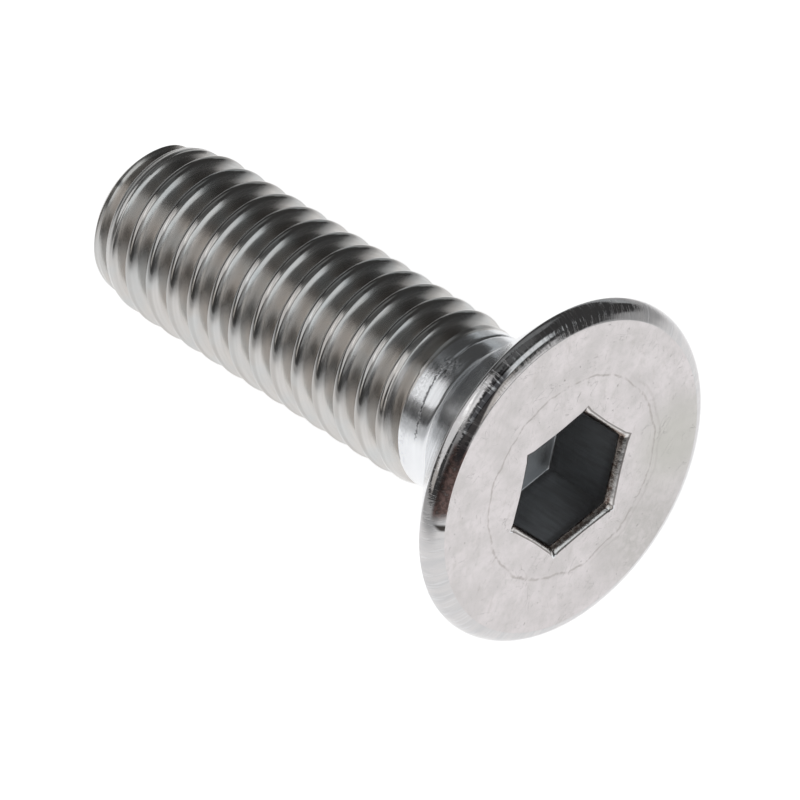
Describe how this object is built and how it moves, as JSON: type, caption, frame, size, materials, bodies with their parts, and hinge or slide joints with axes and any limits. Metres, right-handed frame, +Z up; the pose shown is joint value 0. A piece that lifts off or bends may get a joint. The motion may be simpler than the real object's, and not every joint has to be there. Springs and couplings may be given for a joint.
{
  "type": "countersunk socket screw",
  "caption": "Countersunk machine screw with a hexagon socket and a full-length right-hand metric thread.",
  "frame": {"origin": "on the floor under the middle of the lying screw's bounding box", "axes": "+Z up; the screw lies along X with its head towards +X and its tip towards -X, and its axis falls 9.3 degrees towards the tip, because it rests on the rim of its head and on a crest near its tip"},
  "size_m": [0.021, 0.0118, 0.0116],
  "materials": {
    "steel": "bright stainless steel, rolled thread and pickled head with light scratches"
  },
  "bodies": {
    "root": {"screw": "steel"}
  },
  "joints": []
}
